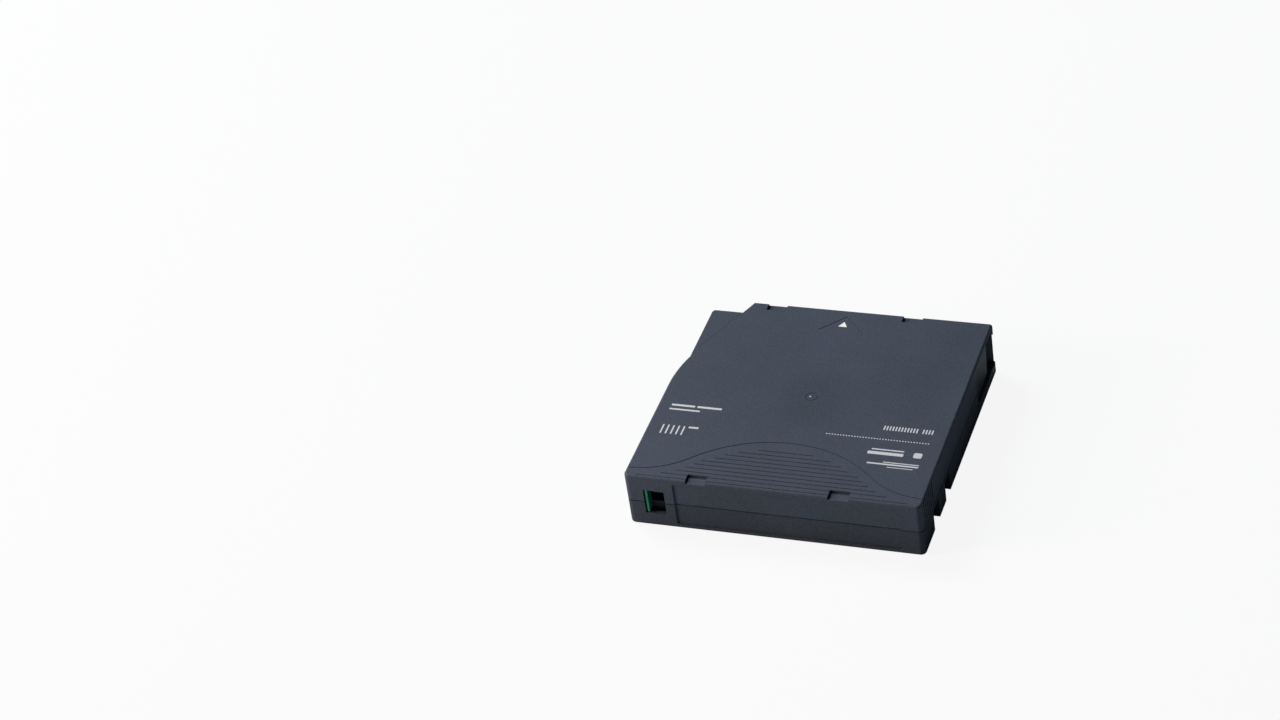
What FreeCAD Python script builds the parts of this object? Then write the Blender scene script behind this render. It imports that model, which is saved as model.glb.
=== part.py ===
import FreeCAD, Part
import math
import os
import Sketcher

# Half-inch data tape cartridge with one reel. Millimetres.
# X runs across the cartridge (door side +X), Y is the way it is pushed into a drive, Z is up.
# The origin is the middle of the underside; the reel turns about Z through it.

SIZES = {
    # outside
    "case_width": 105.4,
    "case_depth": 102.0,
    "case_height": 21.5,
    "parting_height": 10.4,
    "outer_wall": 1.7,
    "plate": 1.5,
    "front_round": 2.0,
    "lip_round": 1.0,
    "guide_round": 1.5,
    "edge_round": 0.9,
    "seam_height": 0.22,
    "seam_depth": 0.5,
    # corner block that stops the cartridge going in the wrong way round
    "guide_left": 49.95,
    "guide_back": 44.7,
    "guide_drop": 0.25,
    "guide_shoulder": 35.9,
    "guide_slope": 0.42,
    "guide_end": 17.4,
    # front face
    "label_left": 35.3,
    "label_right": 45.1,
    "label_bottom": 1.9,
    "label_top": 19.3,
    "label_depth": 0.43,
    "protect_left": 46.2,
    "protect_right": 38.7,
    "protect_bottom": 5.5,
    "protect_top": 15.5,
    "protect_ledge": 1.4,
    # top face
    "recess_width": 7.2,
    "recess_length": 3.9,
    "recess_depth": 1.05,
    "recess_left": 26.7,
    "recess_right": 23.8,
    "line_width": 0.34,
    "line_depth": 0.22,
    "bell_peak": -25.4,
    "bell_radius": 45.7,
    "bell_flare": 28.6,
    "bell_reach": 52.0,
    "grip_gap_peak": 4.1,
    "grip_gap_flare": 3.5,
    "chevron_peak": 47.1,
    "chevron_drop": 8.7,
    "chevron_reach": 8.15,
    "grip_pitch": 2.13,
    "grip_first": 30.7,
    "rib_width": 0.95,
    "rib_depth": 0.32,
    "rib_bottom": 12.2,
    # side notches
    "notch_depth": 4.6,
    "notch_height": 9.0,
    "notch_lip": 1.2,
    # door
    "door_open_from": 25.3,
    "door_skin": 0.95,
    "door_gap": 0.15,
    "door_thickness": 1.0,
    "door_tail": 20.0,
    "door_reach": 50.9,
    "door_tip": 52.0,
    "door_bend": 6.0,
    "door_scoop": 2.5,
    "door_travel": 23.0,
    "rail_height": 4.75,
    "rail_groove": 0.5,
    "rail_inner": 49.4,
    "window_top": 20.5,
    "lip_height": 17.4,
    "tip_height": 16.6,
    "lead_wall_end": 48.6,
    # reel
    "reel_radius": 48.5,
    "hub_radius": 22.0,
    "hub_wall": 2.0,
    "flange_bottom": 3.0,
    "flange_top": 4.2,
    "pack_radius": 46.85,
    "pack_bottom": 4.35,
    "tape_width": 12.65,
    "upper_flange_bottom": 17.2,
    "upper_flange_top": 18.3,
    "spindle_radius": 21.7,
    "rim_height": 2.8,
    "drive_inner": 14.6,
    "drive_outer": 19.6,
    "web_bottom": 2.2,
    "tooth_tip": 0.9,
    "lock_inner": 13.5,
    "lock_outer": 16.0,
    "lock_top": 6.4,
    # brake and release plate
    "brake_tip": 5.2,
    "brake_bottom": 6.6,
    "brake_top": 8.0,
    "brake_radius": 16.4,
    "boss_radius": 6.6,
    "boss_top": 15.0,
    "post_width": 8.0,
    "post_thickness": 2.0,
    "post_bottom": 10.6,
    "foot_circle": 17.2,
    "foot_radius": 1.2,
    "arm_bottom": 4.3,
    "arm_top": 5.0,
    # leader pin
    "pin_x": 45.2,
    "pin_y": 41.0,
    "pin_radius": 1.2,
    "pin_disc": 2.6,
    # fasteners
    "screw_boss": 3.4,
    "screw_head": 2.2,
    "screw_shank": 1.05,
    "head_seat": 4.0,
    "screw_tip": 15.5,
}

doc = FreeCAD.newDocument("tape_cartridge")
sheet = doc.addObject("Spreadsheet::Sheet", "Sizes")
for row, (alias, amount) in enumerate(SIZES.items(), start=1):
    sheet.set(f"A{row}", alias)
    sheet.set(f"B{row}", str(amount))
    sheet.setAlias(f"B{row}", alias)
doc.recompute()


class Size:
    """A number together with the expression over the sheet that gives it."""

    def __init__(self, number, text=None):
        self.number = float(number)
        self.text = text or repr(float(number))

    def joined(self, other, sign, number):
        return Size(number, f"({self.text} {sign} {as_size(other).text})")

    def __add__(self, other):
        return self.joined(other, "+", self.number + as_size(other).number)

    def __sub__(self, other):
        return self.joined(other, "-", self.number - as_size(other).number)

    def __mul__(self, other):
        return self.joined(other, "*", self.number * as_size(other).number)

    def __truediv__(self, other):
        return self.joined(other, "/", self.number / as_size(other).number)

    def __rsub__(self, other):
        return as_size(other) - self

    def __neg__(self):
        return Size(-self.number, f"(-{self.text})")

    __radd__ = __add__
    __rmul__ = __mul__


def as_size(amount):
    return amount if isinstance(amount, Size) else Size(amount)


def cell(alias):
    return Size(SIZES[alias], f"Sizes.{alias}")


def root(amount):
    return Size(math.sqrt(amount.number), f"sqrt({amount.text})")


def bind(thing, path, amount):
    """Keeps a property bound to the sheet if its size comes from there."""
    text = as_size(amount).text
    if "Sizes." in text:
        thing.setExpression(path, text)


half_width = cell("case_width") / 2
half_depth = cell("case_depth") / 2
height = cell("case_height")
parting = cell("parting_height")
wall = cell("outer_wall")
ceiling = height - cell("plate")
floor = cell("plate")
skin = half_width - cell("door_skin")
door_face = skin - cell("door_gap")
door_back = door_face - cell("door_thickness")
pin_x = cell("pin_x")
pin_y = cell("pin_y")


def new_body(label):
    body = doc.addObject("PartDesign::Body", label)
    body.Label = label
    return body


def origin_feature(body, role):
    return next(item for item in body.Origin.OriginFeatures if item.Role == role)


def new_sketch(body, plane="XY_Plane", offset=0):
    """A sketch on one of the body's own origin planes, moved along the plane's normal."""
    sketch = body.newObject("Sketcher::SketchObject", "sketch")
    sketch.AttachmentSupport = [(origin_feature(body, plane), "")]
    sketch.MapMode = "FlatFace"
    sketch.AttachmentOffset = FreeCAD.Placement(
        FreeCAD.Vector(0, 0, as_size(offset).number), FreeCAD.Rotation()
    )
    bind(sketch, "AttachmentOffset.Base.z", offset)
    return sketch


def place(sketch, geometry, point, x, y):
    """Holds one point of a sketch's geometry at x, y."""
    for kind, amount in (("DistanceX", x), ("DistanceY", y)):
        number = as_size(amount).number
        held = Sketcher.Constraint(kind, -1, 1, geometry, point, number)
        index = sketch.addConstraint(held)
        bind(sketch, f"Constraints[{index}]", amount)


def arc_between(start, end, radius):
    """An arc from start to end; its centre lies left of the way if radius is positive."""
    middle = (start + end) / 2
    along = end - start
    left = FreeCAD.Vector(-along.y, along.x, 0).normalize()
    reach = math.sqrt(radius**2 - (along.Length / 2) ** 2)
    centre = middle + left * math.copysign(reach, radius)
    first, last = (start, end) if radius > 0 else (end, start)
    angles = [math.atan2(p.y - centre.y, p.x - centre.x) for p in (first, last)]
    circle = Part.Circle(centre, FreeCAD.Vector(0, 0, 1), abs(radius))
    return Part.ArcOfCircle(circle, angles[0], angles[1])


def outline(sketch, corners):
    """A closed outline. A corner is (x, y), or (x, y, radius) where an arc leaves it."""
    count = len(corners)
    spots = [FreeCAD.Vector(as_size(c[0]).number, as_size(c[1]).number, 0) for c in corners]
    ends = []
    for number, corner in enumerate(corners):
        start, end = spots[number], spots[(number + 1) % count]
        if len(corner) == 2:
            index = sketch.addGeometry(Part.LineSegment(start, end))
            ends.append((index, 1, 2))
            continue
        radius = as_size(corner[2])
        index = sketch.addGeometry(arc_between(start, end, radius.number))
        ends.append((index, 1, 2) if radius.number > 0 else (index, 2, 1))
        held = sketch.addConstraint(Sketcher.Constraint("Radius", index, abs(radius.number)))
        bind(sketch, f"Constraints[{held}]", radius if radius.number > 0 else -radius)
    for number, corner in enumerate(corners):
        index, first, last = ends[number]
        following, follow_first, _ = ends[(number + 1) % count]
        sketch.addConstraint(
            Sketcher.Constraint("Coincident", index, last, following, follow_first)
        )
        place(sketch, index, first, corner[0], corner[1])


def rectangle(sketch, left, bottom, right, top):
    outline(sketch, [(left, bottom), (right, bottom), (right, top), (left, top)])


def circle(sketch, x, y, radius):
    number = as_size(radius).number
    spot = FreeCAD.Vector(as_size(x).number, as_size(y).number, 0)
    index = sketch.addGeometry(Part.Circle(spot, FreeCAD.Vector(0, 0, 1), number))
    held = sketch.addConstraint(Sketcher.Constraint("Radius", index, number))
    bind(sketch, f"Constraints[{held}]", radius)
    place(sketch, index, 3, x, y)


def ring_sector(sketch, inner, outer, start, end):
    """Part of a ring about the origin, between two angles in degrees, in two equal stretches."""
    turns = [math.radians(angle) for angle in (start, (start + end) / 2, end)]
    low, mid, high = [(math.cos(turn), math.sin(turn)) for turn in turns]
    outline(
        sketch,
        [
            (inner * low[0], inner * low[1]),
            (outer * low[0], outer * low[1], outer),
            (outer * mid[0], outer * mid[1], outer),
            (outer * high[0], outer * high[1]),
            (inner * high[0], inner * high[1], -inner),
            (inner * mid[0], inner * mid[1], -inner),
        ],
    )


def wedge(sketch, inner, outer, angle, half_angle):
    """A straight-sided tooth that widens outwards, centred on an angle in degrees."""
    low, high = math.radians(angle - half_angle), math.radians(angle + half_angle)
    outline(
        sketch,
        [
            (inner * math.cos(low), inner * math.sin(low)),
            (outer * math.cos(low), outer * math.sin(low)),
            (outer * math.cos(high), outer * math.sin(high)),
            (inner * math.cos(high), inner * math.sin(high)),
        ],
    )


def pad(body, sketch, length, backwards=False):
    feature = body.newObject("PartDesign::Pad", "pad")
    feature.Profile = sketch
    feature.Length = as_size(length).number
    bind(feature, "Length", length)
    feature.Reversed = backwards
    return feature


def pocket(body, sketch, length, backwards=False):
    """Cuts against the sketch's normal, or along it if backwards."""
    feature = body.newObject("PartDesign::Pocket", "pocket")
    feature.Profile = sketch
    feature.Length = as_size(length).number
    bind(feature, "Length", length)
    feature.Reversed = backwards
    return feature


def revolve(body, sketch):
    feature = body.newObject("PartDesign::Revolution", "revolution")
    feature.Profile = sketch
    feature.ReferenceAxis = (sketch, ["V_Axis"])
    feature.Angle = 360
    return feature


def around(body, feature, count):
    """Repeats a feature about Z."""
    pattern = body.newObject("PartDesign::PolarPattern", "pattern")
    pattern.Originals = [feature]
    pattern.Axis = (origin_feature(body, "Z_Axis"), [""])
    pattern.Angle = 360
    pattern.Occurrences = count
    body.Tip = pattern
    return pattern


def dress(body, kind, test, amount):
    """A fillet or chamfer on the edges of the body so far that pass the test."""
    doc.recompute()
    base = body.Tip
    names = [f"Edge{n}" for n, edge in enumerate(base.Shape.Edges, start=1) if test(edge)]
    feature = body.newObject(f"PartDesign::{kind}", kind.lower())
    feature.Base = (base, names)
    size_name = "Radius" if kind == "Fillet" else "Size"
    setattr(feature, size_name, as_size(amount).number)
    bind(feature, size_name, amount)
    return feature


def upright_at(spots):
    """A test for vertical edges that stand at one of the given places."""
    places = [(as_size(x).number, as_size(y).number) for x, y in spots]

    def test(edge):
        box = edge.BoundBox
        if box.XLength > 1e-4 or box.YLength > 1e-4:
            return False
        return any(math.hypot(box.XMin - x, box.YMin - y) < 0.01 for x, y in places)

    return test


def level_at(level, keep=lambda box: True):
    """A test for edges that lie at one height."""
    number = as_size(level).number

    def test(edge):
        box = edge.BoundBox
        return abs(box.ZMin - number) < 1e-4 and abs(box.ZMax - number) < 1e-4 and keep(box)

    return test


def case_outline(inset):
    """The case from above, moved inwards. The left side bulges round the reel."""
    side = half_width - inset
    front = half_depth - inset
    guide_x = cell("guide_left") - inset
    guide_y = cell("guide_back") - inset
    lean = root(cell("guide_slope") * cell("guide_slope") + 1) * inset
    shoulder = cell("guide_shoulder") - lean
    top_x = -shoulder - cell("guide_slope") * inset
    inner_x = -shoulder - cell("guide_slope") * (half_depth - guide_y)
    arc_top = root(side * side - guide_x * guide_x)
    return [
        (-side, 0),
        (-side, -front),
        (side, -front),
        (side, front),
        (top_x, front),
        (inner_x, guide_y),
        (-guide_x, guide_y),
        (-guide_x, arc_top, side),
    ]


def rounded(sketch, left, bottom, right, top, radius):
    outline(
        sketch,
        [
            (left + radius, bottom),
            (right - radius, bottom, radius),
            (right, bottom + radius),
            (right, top - radius, radius),
            (right - radius, top),
            (left + radius, top, radius),
            (left, top - radius),
            (left, bottom + radius, radius),
        ],
    )


def rise(body, draw, start, end, *sizes):
    """Pads what draw puts in a level sketch, from one height to another."""
    sketch = new_sketch(body, "XY_Plane", start)
    draw(sketch, *sizes)
    return pad(body, sketch, as_size(end) - start)


def sink(body, draw, start, end, *sizes):
    """Cuts what draw puts in a level sketch, from one height up to another."""
    sketch = new_sketch(body, "XY_Plane", start)
    draw(sketch, *sizes)
    return pocket(body, sketch, as_size(end) - start, backwards=True)


def round_corners(body, inset, lip_round):
    """Rounds the upright corners of the case outline moved in by inset."""
    side, front = half_width - inset, half_depth - inset
    groups = [
        ([(-side, -front), (side, -front)], cell("front_round") - inset),
        ([(side, front)], lip_round - inset),
        ([(inset - cell("guide_left"), cell("guide_back") - inset)], cell("guide_round") - inset),
    ]
    for spots, radius in groups:
        if radius.number > 0.1:
            dress(body, "Fillet", upright_at(spots), radius)


def front_cuts(body):
    """The label panel with the seam across it, and the write-protect window."""
    label = new_sketch(body, "XZ_Plane", half_depth)
    sides = (-cell("label_left"), cell("label_right"))
    rounded(label, sides[0], cell("label_bottom"), sides[1], cell("label_top"), as_size(0.8))
    pocket(body, label, cell("label_depth"))
    seam = new_sketch(body, "XZ_Plane", half_depth)
    half_seam = cell("seam_height")
    rectangle(seam, sides[0], parting - half_seam, sides[1], parting + half_seam)
    pocket(body, seam, cell("label_depth") + cell("seam_depth"))
    window = new_sketch(body, "XZ_Plane", half_depth)
    edges = (-cell("protect_left"), -cell("protect_right"))
    rectangle(window, edges[0], cell("protect_bottom"), edges[1], cell("protect_top"))
    pocket(body, window, wall + 0.3)


def wall_arc(sketch, start, end):
    """A fence that keeps the reel centred before it is clamped."""
    ring_sector(sketch, as_size(49.1), as_size(50.3), start, end)


FENCES = [(208, 232), (304, 322), (122, 143)]
SCREWS = {
    "screw_front_left": (-44.5, -41.0),
    "screw_front_right": (48.0, -46.3),
    "screw_back_left": (-43.5, 38.0),
    "screw_back_right": (38.5, 46.2),
}
NOTCHES = [(-38.0, -30.9), (-22.4, -16.3)]


def pin_seat(body, low, high, slot_low, slot_high):
    """The block an end of the leader pin rests in, and the post its spring is pushed into."""
    rise(body, rectangle, low, high, pin_x - 2.6, pin_y - 2.6, pin_x + 0.9, pin_y + 2.6)
    rise(body, rectangle, low, high, pin_x - 2.6, pin_y - 6.1, pin_x - 0.4, pin_y - 3.9)
    sink(
        body,
        outline,
        slot_low,
        slot_high,
        [
            (pin_x - 0.4, pin_y - 1.15),
            (pin_x + 3, pin_y - 1.15),
            (pin_x + 3, pin_y + 1.15),
            (pin_x - 0.4, pin_y + 1.15, as_size(1.2)),
        ],
    )
    sink(body, rectangle, slot_low, slot_high, pin_x - 2.1, pin_y - 5.25, pin_x, pin_y - 4.75)


def bell_line(sketch):
    """The bell-shaped line across the top, drawn as a groove with two tangent curves a side."""
    half_line = cell("line_width") / 2
    peak_radius, flare = cell("bell_radius"), cell("bell_flare")
    reach = cell("bell_reach")
    low = cell("bell_peak") - peak_radius
    rise_between = root((peak_radius + flare) * (peak_radius + flare) - reach * reach)
    high = low + rise_between
    across = reach / (peak_radius + flare)
    along = rise_between / (peak_radius + flare)

    def turn(radius):
        return radius * across, low + radius * along

    upper_x, upper_y = turn(peak_radius + half_line)
    lower_x, lower_y = turn(peak_radius - half_line)
    end = high - flare
    outline(
        sketch,
        [
            (-reach, end + half_line, flare - half_line),
            (-upper_x, upper_y, -(peak_radius + half_line)),
            (upper_x, upper_y, flare - half_line),
            (reach, end + half_line),
            (reach, end - half_line, -(flare + half_line)),
            (lower_x, lower_y, peak_radius - half_line),
            (-lower_x, lower_y, -(flare + half_line)),
            (-reach, end - half_line),
        ],
    )


def grip_lines(sketch):
    """Ten straight grip lines that end a little inside the bell line."""
    half_line = cell("line_width") / 2
    peak = cell("bell_radius")
    low = cell("bell_peak") - peak
    reach = cell("bell_reach")
    both = peak + cell("bell_flare")
    high = low + root(both * both - reach * reach)
    for number in range(10):
        y = -(cell("grip_first") + cell("grip_pitch") * number)
        if y.number > -38:
            radius = peak - cell("grip_gap_peak")
            half = root(radius * radius - (y - low) * (y - low))
        else:
            radius = cell("bell_flare") + cell("grip_gap_flare")
            half = reach - root(radius * radius - (high - y) * (high - y))
        rectangle(sketch, -half, y - half_line, half, y + half_line)


def chevron(sketch):
    """The arrow line near the edge that enters the drive."""
    half_line = cell("line_width") * 0.65
    peak, drop, reach = cell("chevron_peak"), cell("chevron_drop"), cell("chevron_reach")
    outline(
        sketch,
        [
            (0, peak - half_line),
            (reach, peak - drop - half_line),
            (reach, peak - drop + half_line),
            (0, peak + half_line),
            (-reach, peak - drop + half_line),
            (-reach, peak - drop - half_line),
        ],
    )


def build_upper_shell():
    body = new_body("upper_shell")
    seam_top = parting + cell("seam_height")
    rise(body, outline, parting, seam_top, case_outline(cell("seam_depth")))
    round_corners(body, cell("seam_depth"), cell("lip_round"))
    rise(body, outline, seam_top, height, case_outline(as_size(0)))
    round_corners(body, as_size(0), cell("lip_round"))
    dress(body, "Fillet", level_at(height), cell("edge_round"))

    shoulder, slope = cell("guide_shoulder"), cell("guide_slope")
    beyond = half_depth + 1
    step = [
        (-shoulder + slope, beyond),
        (-half_width - 1, beyond),
        (-half_width - 1, cell("guide_end")),
        (-shoulder - slope * (half_depth - cell("guide_end")), cell("guide_end")),
    ]
    sink(body, outline, height - cell("guide_drop"), height + 1, step)
    line = [step[0], (step[0][0] - 0.35, step[0][1]), (step[3][0] - 0.35, step[3][1]), step[3]]
    sink(body, outline, height - cell("guide_drop") - 0.15, height + 1, line)
    sink(body, outline, parting, ceiling, case_outline(wall))

    line_floor = height - cell("line_depth")
    sink(body, bell_line, line_floor, height + 1)
    sink(body, grip_lines, line_floor, height + 1)
    sink(body, chevron, line_floor, height + 1)
    triangle = [(-1.5, 41.3), (1.5, 41.3), (0, 44.0)]
    sink(body, outline, height - 0.1, height + 1, triangle)
    gate = new_sketch(body, "XY_Plane", height - 0.12)
    circle(gate, 0, 0.7, 2.2)
    circle(gate, 0, 0.7, 1.95)
    pocket(body, gate, 1, backwards=True)
    width = cell("recess_width") / 2
    for middle in (-cell("recess_left"), cell("recess_right")):
        for edge, far in ((-half_depth + cell("recess_length"), -beyond),
                          (half_depth - cell("recess_length"), beyond)):
            low, high = (far, edge) if far.number < 0 else (edge, far)
            sink(body, rectangle, height - cell("recess_depth"), height + 1,
                 middle - width, low, middle + width, high)
    front_cuts(body)
    half_rib = cell("rib_width") / 2
    for side, backwards in ((half_width, False), (-half_width, True)):
        ribs = new_sketch(body, "YZ_Plane", side)
        for number in range(3, 9):
            y = -(cell("grip_first") + cell("grip_pitch") * number)
            rectangle(ribs, y - half_rib, cell("rib_bottom"), y + half_rib, height + 1)
        pocket(body, ribs, cell("rib_depth"), backwards=backwards)

    door_channel = (door_back - 0.15, cell("door_tail") - cell("door_travel") - 0.5)
    sink(body, rectangle, parting, cell("window_top"), *door_channel, skin, cell("door_open_from"))
    window = [
        (door_channel[0], cell("door_open_from")),
        (half_width + 1, cell("door_open_from")),
        (half_width + 1, half_depth + 0.15),
        (door_channel[0], 47.6),
    ]
    sink(body, outline, parting, cell("window_top"), window)
    sink(body, rectangle, parting, cell("lip_height"),
         cell("lead_wall_end"), 46.5, half_width + 1, beyond)

    roof = ceiling + 0.2
    ledge = (-42.9, cell("protect_ledge") - half_depth, -cell("protect_right") + 0.2, -48.9)
    rise(body, rectangle, 14.1, cell("protect_top") + 0.3, *ledge)
    rise(body, rectangle, 16.2, roof, -47.5, -49.5, -36.5, -46.6)
    long, thin = cell("post_width") / 2, cell("post_thickness") / 2
    cross = [
        (thin, -long), (thin, -thin), (long, -thin), (long, thin), (thin, thin), (thin, long),
        (-thin, long), (-thin, thin), (-long, thin), (-long, -thin), (-thin, -thin), (-thin, -long),
    ]
    rise(body, outline, cell("post_bottom"), roof, cross)
    collar = new_sketch(body, "XY_Plane", 18.6)
    circle(collar, 0, 0, 9.9)
    circle(collar, 0, 0, 9.1)
    pad(body, collar, roof - 18.6)
    for x, y in SCREWS.values():
        rise(body, circle, parting, roof, x, y, cell("screw_boss"))
        sink(body, circle, parting, cell("screw_tip") + 1, x, y, cell("screw_shank") + 0.05)
    for start, end in FENCES:
        rise(body, wall_arc, 14.0, roof, start, end)
    rise(body, rectangle, 10.6, roof, 48.0, -29.2, 51.2, -28.2)
    pin_seat(body, 18.15, roof, 18.15, 19.35)
    return body


def build_lower_shell():
    body = new_body("lower_shell")
    seam_bottom = parting - cell("seam_height")
    rise(body, outline, seam_bottom, parting, case_outline(cell("seam_depth")))
    round_corners(body, cell("seam_depth"), cell("lip_round"))
    rise(body, outline, 0, seam_bottom, case_outline(as_size(0)))
    round_corners(body, as_size(0), cell("lip_round"))
    dress(body, "Fillet", level_at(0), cell("edge_round"))
    sink(body, outline, floor, parting, case_outline(wall))
    front_cuts(body)

    base = floor - 0.2
    rim = cell("spindle_radius") + 1.6
    rise(body, circle, base, cell("rim_height"), 0, 0, rim)
    sink(body, circle, -1, cell("rim_height") + 0.1, 0, 0, cell("spindle_radius"))
    dress(body, "Chamfer", level_at(0, lambda box: abs(box.XMax - 21.7) < 0.01), 0.4)
    rise(body, rectangle, base, cell("rail_height"), cell("rail_inner"),
         cell("door_tail") - cell("door_travel") - 0.5, half_width - 1, half_depth - 1)
    groove = (door_back - 0.15, cell("door_tail") - cell("door_travel") - 0.5)
    sink(body, rectangle, cell("rail_height") - cell("rail_groove"), parting + 1,
         *groove, skin, cell("door_open_from"))
    sink(body, rectangle, cell("rail_height") - cell("rail_groove"), cell("rail_height") + 1,
         groove[0], 20.0, skin, 42.4)
    sink(body, rectangle, cell("rail_height"), parting + 1,
         groove[0], cell("door_open_from"), half_width + 1, half_depth + 1)
    sink(body, rectangle, cell("rail_height"), parting + 1,
         cell("lead_wall_end"), 46.5, half_width + 1, half_depth + 1)

    lip, deep, tall = cell("notch_lip"), half_width - cell("notch_depth"), cell("notch_height")
    for near, far in NOTCHES:
        rise(body, rectangle, base, tall + lip, deep - lip, near - lip, half_width - 1, far + lip)
        rise(body, rectangle, base, tall + lip, 1 - half_width, near - lip, lip - deep, far + lip)
    for side, backwards in ((half_width + 1, False), (-half_width - 1, True)):
        cut = new_sketch(body, "YZ_Plane", side)
        for near, far in NOTCHES:
            outline(
                cut,
                [
                    (near - lip, -1),
                    (near - lip, 0, lip),
                    (near, lip),
                    (near, tall),
                    (far, tall),
                    (far, lip, lip),
                    (far + lip, 0),
                    (far + lip, -1),
                ],
            )
        pocket(body, cut, cell("notch_depth") + 1, backwards=backwards)

    for x, y in SCREWS.values():
        rise(body, circle, base, parting, x, y, cell("screw_boss"))
        sink(body, circle, -1, cell("head_seat"), x, y, cell("screw_head") + 0.3)
        sink(body, circle, cell("head_seat") - 1, parting + 1, x, y, cell("screw_shank") + 0.3)
    rise(body, circle, base, 5.0, -32.0, 45.0, 4.2)
    sink(body, circle, -1, 3.8, -32.0, 45.0, 3.0)
    rise(body, rectangle, base, 5.0, 25.6, 41.6, 35.0, 49.5)
    sink(body, rounded, -1, 3.8, as_size(26.2), as_size(42.6), as_size(33.6), as_size(48.4),
         as_size(2.8))
    for start, end in FENCES:
        rise(body, wall_arc, base, 7.0, start, end)
    pin_seat(body, base, 3.35, 2.15, 3.4)
    rise(body, rectangle, base, 4.5, -47.5, -49.5, -36.5, -47.0)
    rise(body, rectangle, base, 8.5, -47.5, -47.6, -36.5, -46.6)
    board_rest = new_sketch(body, "YZ_Plane", 29.0)
    rear, edge = -half_depth + wall - 0.1, 5.3
    outline(board_rest, [(rear, base), (rear + edge + 0.25, base), (rear, base + edge + 0.25)])
    pad(body, board_rest, 1.2)
    board_rest = new_sketch(body, "YZ_Plane", 40.8)
    outline(board_rest, [(rear, base), (rear + edge + 0.25, base), (rear, base + edge + 0.25)])
    pad(body, board_rest, 1.2)
    return body


def build_door():
    """A sliding panel with a scooped hook at its leading end that wraps towards the corner."""
    body = new_body("door")
    thick = cell("door_thickness")
    bend, scoop = cell("door_bend"), cell("door_scoop")
    turn_in, turn_out = math.radians(40), math.radians(45)
    sin_in, cos_in = math.sin(turn_in), math.cos(turn_in)
    sin_out = math.sin(turn_out)
    over = bend * (1 - cos_in) - scoop * (cos_in - sin_out)
    straight = cell("door_tip") - door_face + over
    start = cell("door_reach") - bend * sin_in - scoop * (sin_in + sin_out) - straight
    first = (door_face - bend * (1 - cos_in), start + bend * sin_in)
    second = (cell("door_tip") - straight, cell("door_reach") - straight)
    tail = cell("door_tail")
    shape = [
        (door_back, tail),
        (door_face, tail),
        (door_face, start, bend),
        (*first, -scoop),
        second,
        (cell("door_tip"), cell("door_reach")),
        (cell("door_tip") - thick / sin_out, cell("door_reach")),
        (second[0] - thick * sin_out, second[1] + thick * sin_out, scoop + thick),
        (first[0] - thick * cos_in, first[1] - thick * sin_in, thick - bend),
        (door_back, start),
    ]
    bottom = cell("rail_height") + 0.15
    rise(body, outline, bottom, 19.8, shape)
    sink(body, rectangle, cell("tip_height"), 21, 47.0, 46.9, 54.0, 52.0)
    rise(body, rectangle, 19.6, cell("window_top") - 0.2, door_back, tail, door_face, start)
    rise(body, rectangle, bottom - 0.4, bottom + 0.2, door_back, tail, door_face, start)
    rise(body, rectangle, 11.0, 14.0, 48.3, tail, door_back + 0.2, tail + 1.2)
    return body


def build_door_spring():
    """Pushes the door shut. Wound about the body's Z, which lies along the side of the case."""
    body = new_body("door_spring")
    stop = -28.1
    length = cell("door_tail") - 0.1 - stop
    coil(body, as_size(0.85), as_size(0.5), length, turns=7)
    body.Placement = FreeCAD.Placement(
        FreeCAD.Vector(49.55, stop, 12.5), FreeCAD.Rotation(FreeCAD.Vector(1, 0, 0), -90)
    )
    return body


def coil(body, radius, wire, length, turns):
    """A compression spring of square wire that starts at the body's own base."""
    section = new_sketch(body, "XZ_Plane")
    half = wire / 2
    rectangle(section, radius - half, as_size(0), radius + half, wire)
    feature = body.newObject("PartDesign::AdditiveHelix", "helix")
    feature.Profile = section
    feature.ReferenceAxis = (section, ["V_Axis"])
    feature.Mode = "height-turns-angle"
    feature.Height = (length - wire).number
    bind(feature, "Height", length - wire)
    feature.Turns = turns
    return feature


def build_reel_hub():
    """Hub and lower flange in one: drive teeth underneath, lock teeth for the brake inside."""
    body = new_body("reel_hub")
    rim, hub = cell("reel_radius"), cell("hub_radius")
    bore = hub - cell("hub_wall")
    skirt = cell("spindle_radius") - 0.5
    low, high = cell("flange_bottom"), cell("flange_top")
    web, tip = cell("web_bottom"), cell("tooth_tip")
    top, weld = cell("upper_flange_bottom"), cell("upper_flange_top")
    section = new_sketch(body, "XZ_Plane")
    outline(
        section,
        [
            (0, web),
            (skirt - 1.2, web),
            (skirt - 1.2, tip),
            (skirt, tip),
            (skirt, low),
            (rim, low),
            (rim, high),
            (hub, high),
            (hub, top),
            (hub - 1, top),
            (hub - 1, weld - 0.2),
            (bore, weld - 0.2),
            (bore, high + 1),
            (bore - 1, high),
            (0, high),
        ],
    )
    revolve(body, section)

    drive = new_sketch(body, "XY_Plane", tip)
    for number in range(1, 12):
        wedge(drive, cell("drive_inner"), cell("drive_outer"), 10 * number, 2.3)
    teeth = pad(body, drive, web + 0.1 - tip)
    around(body, teeth, 3)
    lock = new_sketch(body, "XY_Plane", high - 0.1)
    for number in range(2, 11):
        wedge(lock, cell("lock_inner"), cell("lock_outer"), 10 * number, 2.2)
    teeth = pad(body, lock, cell("lock_top") + 0.1 - high)
    around(body, teeth, 3)
    foot_hole = new_sketch(body, "XY_Plane", web - 1)
    circle(foot_hole, cell("foot_circle"), 0, cell("foot_radius") + 0.4)
    around(body, pocket(body, foot_hole, 5, backwards=True), 3)
    return body


def build_reel_upper_flange():
    body = new_body("reel_upper_flange")
    rim, inner = cell("reel_radius"), cell("hub_radius") - 1
    low, high = cell("upper_flange_bottom"), cell("upper_flange_top")
    section = new_sketch(body, "XZ_Plane")
    outline(section, [(inner, low), (rim, low), (rim, high), (inner, high)])
    revolve(body, section)
    return body


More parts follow.
